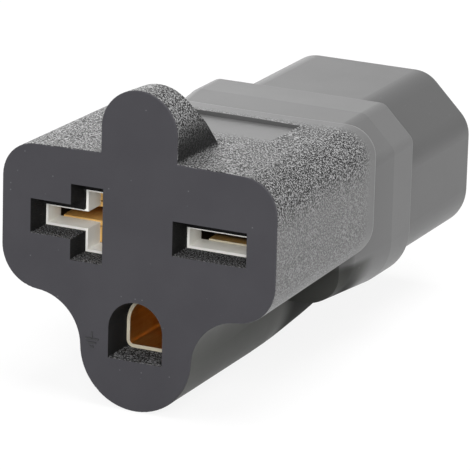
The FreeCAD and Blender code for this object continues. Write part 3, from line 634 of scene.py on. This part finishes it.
@dataclass(frozen=True)
class ShellFinish(Finish):
    """Dark moulded vinyl: a satin face, a grained head with painted glints, dull openings and a smooth
    rear, with painted shade in the openings, under the head, on the lobe, at the tab's foot and on the
    shroud's chamfers.
    """

    places: ShellPlaces = ShellPlaces()
    face_colour: Colour = (0.036, 0.035, 0.040)
    # The grain is the mould's own; its pale peaks are painted glints and its black pits painted shade,
    # milder on the lower sides.
    peak_glint_colour: Colour = (0.250, 0.250, 0.251)
    pit_shade_colour: Colour = (0.004, 0.004, 0.004)
    side_peak_glint_colour: Colour = (0.200, 0.200, 0.200)
    side_pit_shade_colour: Colour = (0.045, 0.045, 0.045)
    rear_colour: Colour = (0.078, 0.078, 0.078)
    shroud_colour: Colour = (0.058, 0.058, 0.058)
    # Painted shade on the shroud's upper chamfers.
    bevel_shade_colour: Colour = (0.038, 0.038, 0.038)
    # The smooth lobe's plain colour, darkened as painted shade under the head's overhang.
    lobe_shade_colour: Colour = (0.052, 0.053, 0.049)
    # Painted shadow under the head's overhang.
    under_shadow_colour: Colour = (0.012, 0.012, 0.011)
    # Painted shade on the walls inside the slots and the ground hole.
    inner_shade_colour: Colour = (0.007, 0.007, 0.007)
    # Painted glints on the grain of the openings' floors.
    ledge_glint_colour: Colour = (0.20, 0.20, 0.205)
    speck_colour: Colour = (0.22, 0.22, 0.23)
    # Share of painted shade at the tab's foot, which also takes the coat away there.
    painted_tab_shade: float = 0.95
    ledge_grain: Span = (0.5, 1.0)
    grain_scale: float = 4.8
    grain_depth: float = 0.10 * MM
    plain_relief: float = 0.02
    haze_scale: float = 0.15
    haze_tint: float = 0.02
    haze_rough: float = 0.06
    speck_scale: float = 1.1
    speck_tint: float = 0.3
    specular: float = 0.15
    rear_rough: float = 0.46
    zone_rough: tuple[tuple[Zone, float], ...] = (
        (Zone.HEAD, 0.5), (Zone.FACE, 0.5), (Zone.INNER, 0.8), (Zone.RIM, 0.3), (Zone.UNDER_SHADOW, 0.85)
    )
    coat_weight: float = 0.65
    coat_rough: float = 0.42

    def paint(self, graph: Graph, zones: dict[Zone, Socket], grain: Socket) -> Socket:
        """Mixes the colours of the zones, one layer over the other.

        Args:
            graph: the material's nodes.
            zones: a mask for each zone.
            grain: mask of the grain.

        Returns:
            The colour.
        """
        # Painted glints on the grain's peaks and painted shade in its pits, milder below the top.
        pit = graph.blend(zones[Zone.SIDE], self.pit_shade_colour, self.side_pit_shade_colour)
        peak = graph.blend(zones[Zone.SIDE], self.peak_glint_colour, self.side_peak_glint_colour)
        # Painted shade at the tab's foot: the grain fades to the dark pit colour.
        shade = graph.maths("MULTIPLY", zones[Zone.TAB], self.painted_tab_shade)
        grained = graph.blend(shade, graph.blend(grain, pit, peak), self.pit_shade_colour)
        layers = (
            (zones[Zone.SHROUD], self.shroud_colour),
            # Painted shade on the shroud's upper chamfers.
            (zones[Zone.BEVEL], self.bevel_shade_colour),
            (zones[Zone.HEAD], grained),
            (zones[Zone.PANEL], self.rear_colour),
            # The lobe takes its colour darkened as painted shade.
            (zones[Zone.LOBE], self.lobe_shade_colour),
            # Painted shadow where the head's overhang shades the block's lower front.
            (zones[Zone.UNDER_SHADOW], self.under_shadow_colour),
            (zones[Zone.FACE], self.face_colour),
            # Painted shade inside the openings.
            (zones[Zone.INNER], self.inner_shade_colour),
            # Painted glints on the grain of the openings' floors.
            (graph.product(zones[Zone.LEDGE], graph.rise(grain, *self.ledge_grain)), self.ledge_glint_colour),
        )
        colour = self.rear_colour
        for mask, upper in layers:
            colour = graph.blend(mask, colour, upper)
        return colour

    def coat(self, graph: Graph, zones: dict[Zone, Socket], grain: Socket, grained: Socket) -> Socket:
        """Mixes the weight of the coat, which the grain breaks up on the head's top.

        Args:
            graph: the material's nodes.
            zones: a mask for each zone.
            grain: mask of the grain.
            grained: mask of the places that have a grain.

        Returns:
            The weight.
        """
        # The tab's foot loses its coat under the painted shade.
        shade = graph.maths("MULTIPLY", zones[Zone.TAB], self.painted_tab_shade)
        bare = graph.largest(zones[Zone.FACE], zones[Zone.LOBE], zones[Zone.INNER], shade)
        on_head = graph.between(zones[Zone.SIDE], grain, self.coat_weight)
        return graph.between(bare, graph.between(grained, self.coat_weight, on_head), 0.0)

    def dress(self, graph: Graph, shader: bpy.types.Node, place: Socket, effects: Effects) -> None:
        """Feeds colour, roughness, relief and coat of the zones to the shader.

        Args:
            graph: the material's nodes.
            shader: the Principled shader.
            place: coordinates in millimetres.
            effects: the shared effects.
        """
        zones = self.places.masks(graph, place)
        grain = effects.mask(graph, Effect.GRAIN, place, self.grain_scale)
        haze = effects.mask(graph, Effect.HAZE, place, self.haze_scale)
        specks = effects.mask(graph, Effect.SPECKS, place, self.speck_scale)
        colour = self.paint(graph, zones, grain)
        for mask, tint in ((haze, self.haze_tint), (specks, self.speck_tint)):
            colour = graph.blend(graph.maths("MULTIPLY", mask, tint), colour, self.speck_colour)
        graph.feed(shader.inputs["Base Color"], colour)
        shader.inputs["Specular IOR Level"].default_value = self.specular
        rough = self.rear_rough
        for zone, value in self.zone_rough:
            rough = graph.between(zones[zone], rough, value)
        graph.feed(shader.inputs["Roughness"], graph.maths("MULTIPLY_ADD", haze, self.haze_rough, rough))
        plain = graph.largest(zones[Zone.FACE], zones[Zone.PANEL], zones[Zone.LOBE])
        grained = graph.product(graph.inverse(plain), zones[Zone.HEAD])
        relief = graph.maths("MULTIPLY_ADD", grained, 1.0 - self.plain_relief, self.plain_relief)
        self.raise_relief(graph, shader, graph.product(grain, relief), self.grain_depth)
        graph.feed(shader.inputs["Coat Weight"], self.coat(graph, zones, grain, grained))
        shader.inputs["Coat Roughness"].default_value = self.coat_rough


@dataclass(frozen=True)
class Depth:
    """A darker tone that a piece takes on towards its rear, where little light comes."""

    colour: Colour
    front_mm: float
    rear_mm: float

    def tone(self, graph: Graph, place: Socket, colour: Socket) -> Socket:
        """Darkens a colour towards the rear.

        Args:
            graph: the material's nodes.
            place: coordinates in millimetres.
            colour: the colour in front.

        Returns:
            The colour with the darker tone.
        """
        _, y, _ = graph.axes(place)
        return graph.blend(graph.rise(y, self.front_mm, self.rear_mm), colour, self.colour)


@dataclass(frozen=True)
class PlasticFinish(Finish):
    """Plain moulded or extruded plastic with a faint haze."""

    colour: Colour
    shade: Colour
    roughness: float = 0.4
    relief: float = 0.003 * MM
    depth: Depth | None = None
    haze_scale: float = 0.5
    grain_scale: float = 4.0
    grain_rough: float = 0.1

    def dress(self, graph: Graph, shader: bpy.types.Node, place: Socket, effects: Effects) -> None:
        """Varies the colour and roughness a little and adds a fine relief.

        Args:
            graph: the material's nodes.
            shader: the Principled shader.
            place: coordinates in millimetres.
            effects: the shared effects.
        """
        haze = effects.mask(graph, Effect.HAZE, place, self.haze_scale)
        grain = effects.mask(graph, Effect.GRAIN, place, self.grain_scale)
        colour = graph.blend(haze, self.colour, self.shade)
        if self.depth:
            colour = self.depth.tone(graph, place, colour)
        graph.feed(shader.inputs["Base Color"], colour)
        rough = graph.maths("MULTIPLY_ADD", grain, self.grain_rough, self.roughness)
        graph.feed(shader.inputs["Roughness"], rough)
        self.raise_relief(graph, shader, grain, self.relief)


@dataclass(frozen=True)
class MetalFinish(Finish):
    """Rolled metal with lines along its length and, on some pieces, a painted highlight along its front
    edge.
    """

    colour: Colour
    tarnish: Colour
    roughness: float = 0.28
    metallic: float = 1.0
    depth: Depth | None = None
    edge_front_mm: float | None = None
    edge_fade_mm: Span = (0.03, 0.09)
    # Colour and metalness of the painted highlight along the front edge.
    edge_highlight_colour: Colour = (0.80, 0.73, 0.56)
    edge_highlight_metallic: float = 0.3
    line_scale: float = 4.0
    line_tarnish: float = 0.35
    line_rough: float = 0.12
    line_depth: float = 0.002 * MM
    haze_scale: float = 0.4
    haze_tarnish: float = 0.5

    def dress(self, graph: Graph, shader: bpy.types.Node, place: Socket, effects: Effects) -> None:
        """Mixes bright and tarnished metal along the lines.

        Args:
            graph: the material's nodes.
            shader: the Principled shader.
            place: coordinates in millimetres.
            effects: the shared effects.
        """
        lines = effects.mask(graph, Effect.LINES, place, self.line_scale)
        haze = effects.mask(graph, Effect.HAZE, place, self.haze_scale)
        dull = graph.maths("MULTIPLY", haze, self.haze_tarnish)
        tarnish = graph.maths("MULTIPLY_ADD", lines, self.line_tarnish, dull)
        colour = graph.blend(tarnish, self.colour, self.tarnish)
        if self.depth:
            colour = self.depth.tone(graph, place, colour)
        shader.inputs["Metallic"].default_value = self.metallic
        if self.edge_front_mm is not None:
            _, y, _ = graph.axes(place)
            # Painted highlight: a pale, less metallic band along the front edge.
            edge_highlight = graph.fall(y, *(self.edge_front_mm + step for step in self.edge_fade_mm))
            colour = graph.blend(edge_highlight, colour, self.edge_highlight_colour)
            graph.feed(shader.inputs["Metallic"], graph.between(edge_highlight, self.metallic, self.edge_highlight_metallic))
        graph.feed(shader.inputs["Base Color"], colour)
        rough = graph.maths("MULTIPLY_ADD", lines, self.line_rough, self.roughness)
        graph.feed(shader.inputs["Roughness"], rough)
        self.raise_relief(graph, shader, lines, self.line_depth)


@dataclass
class Pieces:
    """A sub-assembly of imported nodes, each with its own finish."""

    title: str
    finishes: dict[str, Finish] = field(default_factory=dict)

    def dress(self, effects: Effects) -> None:
        """Gives each node its finish.

        Args:
            effects: the shared effects.
        """
        made: dict[str, bpy.types.Material] = {}
        for name, finish in self.finishes.items():
            if finish.name not in made:
                made[finish.name] = finish.make(effects)
            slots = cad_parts[name].data.materials
            for index in range(len(slots)):
                slots[index] = made[finish.name]
            LOG.info("%s: %s dressed in %s", self.title, name, finish.name)


@dataclass
class EarthSign:
    """The usual earth sign, a stem over three bars, raised a little from the face."""

    centre_mm: tuple[float, float] = (-5.55, -13.6)
    bar_widths_mm: tuple[float, ...] = (1.7, 1.1, 0.5)
    stem_mm: float = 0.85
    pitch_mm: float = 0.48
    stroke_mm: float = 0.22
    proud_mm: float = 0.06
    root_mm: float = 0.1
    edge_mm: float = 0.02
    edge_segments: int = 2
    finish: PlasticFinish = PlasticFinish(
        "sign_vinyl", (0.010, 0.010, 0.012), (0.014, 0.014, 0.016), roughness=0.35
    )

    def strokes(self) -> list[tuple[float, float, float, float]]:
        """Lists the strokes.

        Returns:
            Centre across, centre height, width and height of each stroke, in millimetres.
        """
        x, z = self.centre_mm
        listed = [(x, z + self.stem_mm / 2, self.stroke_mm, self.stem_mm)]
        for row, width in enumerate(self.bar_widths_mm):
            listed.append((x, z - row * self.pitch_mm, width, self.stroke_mm))
        return listed

    def build(self) -> bpy.types.Object:
        """Builds the sign as one mesh.

        Returns:
            The sign's object.
        """
        work = bmesh.new()
        depth = self.proud_mm + self.root_mm
        for x, z, width, height in self.strokes():
            place = Matrix.Translation(Vector((x, depth / 2 - self.proud_mm, z)) * MM)
            size = Matrix.Diagonal((width * MM, depth * MM, height * MM, 1.0))
            made = bmesh.ops.create_cube(work, size=1.0, matrix=place @ size)
            bmesh.ops.bevel(
                work, geom=edges_of(made["verts"]), offset=self.edge_mm * MM, offset_type="OFFSET",
                segments=self.edge_segments, profile=0.5, affect="EDGES", material=-1
            )
        return add_object("earth_sign", work)

    def dress(self, sign: bpy.types.Object, effects: Effects) -> None:
        """Gives the sign a finish and lets it ride on the part.

        Args:
            sign: the sign's object.
            effects: the shared effects.
        """
        sign.data.materials.append(self.finish.make(effects))
        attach(sign, "root")
        LOG.info("face: earth_sign built and dressed in %s", self.finish.name)


@dataclass
class TailSkin:
    """Smooth skin over the lobe and its tail, which run on into each other without a step.

    Each station is a round section: its depth behind the face, its radius, and how far its foot
    lies below the lobe's centre.
    """

    level_mm: float = -14.4
    stations_mm: tuple[tuple[float, float, float], ...] = (
        (1.5, 7.115, 7.115),
        (6.0, 7.056, 7.140),
        (12.0, 6.967, 7.140),
        (22.0, 6.885, 7.140),
        (25.5, 6.857, 7.070),
        (28.0, 6.800, 6.980),
        (31.0, 6.680, 6.800),
        (36.0, 6.420, 6.500),
        (41.3, 6.080, 6.120),
    )
    cut_mm: float = -11.0
    end_round_mm: float = 2.4
    end_segments: int = 8
    wall_mm: float = 0.35
    segments: int = 128
    crease_deg: float = 40.0

    def build(self) -> bpy.types.Object:
        """Builds the skin: rings from front to rear, a rounded end, open above, with a thin wall.

        Returns:
            The skin's object.
        """
        work = bmesh.new()
        upright = Matrix.Rotation(math.radians(90.0), 4, "X")
        rings = []
        for depth, radius, reach in self.stations_mm:
            centre = Vector((0.0, depth, self.level_mm - reach + radius)) * MM
            place = Matrix.Translation(centre) @ upright
            made = bmesh.ops.create_circle(work, segments=self.segments, radius=radius * MM, matrix=place)
            rings.append(edges_of(made["verts"]))
        for front, rear in zip(rings, rings[1:]):
            bmesh.ops.bridge_loops(work, edges=front + rear)
        bmesh.ops.holes_fill(work, edges=rings[-1])
        bmesh.ops.bevel(
            work, geom=rings[-1], offset=self.end_round_mm * MM, offset_type="OFFSET",
            segments=self.end_segments, profile=0.5, affect="EDGES", material=-1
        )
        level = (0.0, 0.0, self.cut_mm * MM)
        everything = [*work.verts, *work.edges, *work.faces]
        bmesh.ops.bisect_plane(work, geom=everything, plane_co=level, plane_no=(0, 0, 1), clear_outer=True)
        bmesh.ops.recalc_face_normals(work, faces=work.faces)
        bmesh.ops.solidify(work, geom=list(work.faces), thickness=self.wall_mm * MM)
        # Smooth shading stops at the rim of the thin wall.
        for face in work.faces:
            face.smooth = True
        for edge in work.edges:
            edge.smooth = edge.calc_face_angle(0.0) < math.radians(self.crease_deg)
        return add_object("tail_skin", work)

    def dress(self, skin: bpy.types.Object) -> None:
        """Gives the skin the shell's finish and lets it ride on the part.

        Args:
            skin: the skin's object.
        """
        skin.data.materials.append(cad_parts["outer_shell"].data.materials[0])
        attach(skin, "root")
        LOG.info("shell: tail_skin built and dressed")


@dataclass(frozen=True)
class Lamp:
    """A soft square lamp."""

    name: str
    place: Point
    target: Point
    size: float
    power: float

    def build(self) -> None:
        """Adds the lamp to the scene."""
        light = bpy.data.lights.new(self.name, "AREA")
        light.shape = "SQUARE"
        light.size = self.size
        light.energy = self.power
        lamp = bpy.data.objects.new(self.name, light)
        lamp.location = self.place
        aim = Vector(self.target) - Vector(self.place)
        lamp.rotation_euler = aim.to_track_quat("-Z", "Y").to_euler()
        bpy.context.scene.collection.objects.link(lamp)
        LOG.info("studio: lamp %s", self.name)


@dataclass
class Studio:
    """Pale floor, white surroundings, soft lamps and the camera."""

    lamps: tuple[Lamp, ...] = (
        Lamp("overhead", (0.15, 0.0, 0.8), (0.0, 0.03, 0.0), size=0.6, power=8.0),
        Lamp("back", (-0.6, 0.75, 0.3), (0.0, 0.03, 0.0), size=0.45, power=1.0),
        Lamp("front", (0.3, -0.8, 0.45), (0.0, 0.0, 0.0), size=0.4, power=7.0),
    )
    ambient: float = 0.35
    floor_half: float = 3.0
    floor_cells: int = 4
    floor_gap: float = 0.05 * MM
    floor_colour: Colour = (0.9, 0.9, 0.9)
    floor_white: float = 0.88
    azimuth: float = 25.191
    elevation: float = 16.935
    roll: float = 1.59
    distance: float = 499.066 * MM
    target: Point = (6.264 * MM, 12.856 * MM, -2.64 * MM)
    lens_mm: float = 329.48
    sensor_mm: float = 36.0
    clip_start: float = 0.01

    @staticmethod
    def seen_rays(graph: Graph) -> Socket:
        """Makes a mask of the rays that show things: camera, glossy and transmission rays.

        Args:
            graph: the nodes of a material or the world.

        Returns:
            The mask.
        """
        path = graph.add("ShaderNodeLightPath")
        kinds = ("Is Camera Ray", "Is Glossy Ray", "Is Transmission Ray")
        return graph.largest(*(path.outputs[kind] for kind in kinds))

    def build_floor(self) -> None:
        """Builds the floor below the part."""
        work = bmesh.new()
        level = Matrix.Translation((0.0, 0.0, CAD_BOX[0][2] - self.floor_gap))
        bmesh.ops.create_grid(
            work, x_segments=self.floor_cells, y_segments=self.floor_cells, size=self.floor_half,
            matrix=level
        )
        floor = add_object("floor", work)
        floor.data.materials.append(self.floor_material())
        LOG.info("studio: floor")

    def floor_material(self) -> bpy.types.Material:
        """Makes the floor's material, which stays near white and keeps a faint shadow.

        Returns:
            The material.
        """
        material = bpy.data.materials.new("floor_white")
        graph = empty_graph(material)
        plain = graph.add("ShaderNodeBsdfDiffuse")
        plain.inputs["Color"].default_value = (*self.floor_colour, 1.0)
        white = graph.add("ShaderNodeEmission")
        share = graph.maths("MULTIPLY", self.seen_rays(graph), self.floor_white)
        mix = graph.add("ShaderNodeMixShader")
        for target, source in zip(mix.inputs, (share, plain.outputs[0], white.outputs[0])):
            graph.feed(target, source)
        output = graph.add("ShaderNodeOutputMaterial")
        graph.feed(output.inputs["Surface"], mix.outputs[0])
        return material

    def build_world(self) -> None:
        """Makes surroundings that show as white and light the part softly."""
        world = bpy.data.worlds.new("studio")
        graph = empty_graph(world)
        back = graph.add("ShaderNodeBackground")
        back.inputs["Color"].default_value = (1.0, 1.0, 1.0, 1.0)
        graph.feed(back.inputs["Strength"], graph.between(self.seen_rays(graph), self.ambient, 1.0))
        output = graph.add("ShaderNodeOutputWorld")
        graph.feed(output.inputs["Surface"], back.outputs[0])
        bpy.context.scene.world = world
        LOG.info("studio: world")

    def build_camera(self) -> None:
        """Places the camera at the photograph's angle."""
        turn, tilt, roll = (math.radians(angle) for angle in (self.azimuth, self.elevation, self.roll))
        back = Vector((math.sin(turn) * math.cos(tilt), -math.cos(turn) * math.cos(tilt), math.sin(tilt)))
        level = Vector((math.cos(turn), math.sin(turn), 0.0))
        upright = back.cross(level)
        right = math.cos(roll) * level + math.sin(roll) * upright
        up = math.cos(roll) * upright - math.sin(roll) * level
        lens = bpy.data.cameras.new("camera")
        lens.sensor_width = self.sensor_mm
        lens.lens = self.lens_mm
        lens.clip_start = self.clip_start
        camera = bpy.data.objects.new("camera", lens)
        axes = Matrix((right, up, back)).transposed().to_4x4()
        camera.matrix_world = Matrix.Translation(Vector(self.target) + back * self.distance) @ axes
        bpy.context.scene.collection.objects.link(camera)
        bpy.context.scene.camera = camera
        LOG.info("studio: camera")

    def build(self) -> None:
        """Builds the whole studio."""
        self.build_floor()
        for lamp in self.lamps:
            lamp.build()
        self.build_world()
        self.build_camera()
        bpy.context.scene.view_settings.view_transform = "Standard"


def sub_assemblies() -> list[Pieces]:
    """Lists the part's sub-assemblies with their finishes.

    Returns:
        The sub-assemblies in building order.
    """
    chamber = Depth((0.05, 0.033, 0.018), front_mm=6.9, rear_mm=7.3)
    white = PlasticFinish("carrier_white", (0.90, 0.89, 0.85), (0.86, 0.85, 0.80), depth=chamber)
    black = PlasticFinish("pin_carrier_black", (0.030, 0.030, 0.032), (0.024, 0.024, 0.025))
    straight = MetalFinish(
        "straight_brass", (0.85, 0.58, 0.24), (0.70, 0.42, 0.14), roughness=0.4, metallic=0.6,
        depth=Depth((0.10, 0.05, 0.02), front_mm=7.6, rear_mm=9.2), edge_front_mm=7.0
    )
    tee = MetalFinish(
        "t_slot_brass", (0.88, 0.57, 0.20), (0.78, 0.45, 0.13), roughness=0.42, metallic=0.4
    )
    ground = MetalFinish("ground_brass", (0.90, 0.66, 0.32), (0.72, 0.44, 0.16), edge_front_mm=4.8)
    nickel = MetalFinish("pin_nickel", (0.72, 0.70, 0.66), (0.60, 0.58, 0.54))
    copper = MetalFinish("wire_copper", (0.80, 0.42, 0.26), (0.55, 0.25, 0.14))
    covers = {
        Wire.LEFT: PlasticFinish("insulation_white", (0.80, 0.80, 0.78), (0.74, 0.74, 0.72)),
        Wire.RIGHT: PlasticFinish("insulation_black", (0.030, 0.030, 0.030), (0.022, 0.022, 0.022)),
        Wire.EARTH: PlasticFinish("insulation_green", (0.06, 0.30, 0.10), (0.05, 0.24, 0.08)),
    }
    wiring: dict[str, Finish] = {f"{wire.value}_conductor": copper for wire in Wire}
    wiring.update({f"{wire.value}_insulation": cover for wire, cover in covers.items()})
    return [
        Pieces("shell", {"outer_shell": ShellFinish("shell_vinyl")}),
        Pieces("socket", {
            "contact_carrier": white,
            "carrier_cover": white,
            "straight_slot_contact": straight,
            "t_slot_contact": tee,
            "ground_contact": ground,
        }),
        Pieces("inlet", {"pin_carrier": black, **{f"{wire.value}_pin": nickel for wire in Wire}}),
        Pieces("wiring", wiring),
    ]


def main() -> None:
    """Builds and dresses everything in order."""
    logging.basicConfig(level=logging.INFO, format="%(message)s")
    effects = Effects()
    for pieces in sub_assemblies():
        pieces.dress(effects)
    sign = EarthSign()
    sign.dress(sign.build(), effects)
    tail = TailSkin()
    tail.dress(tail.build())
    Studio().build()


if __name__ == "__main__":
    main()
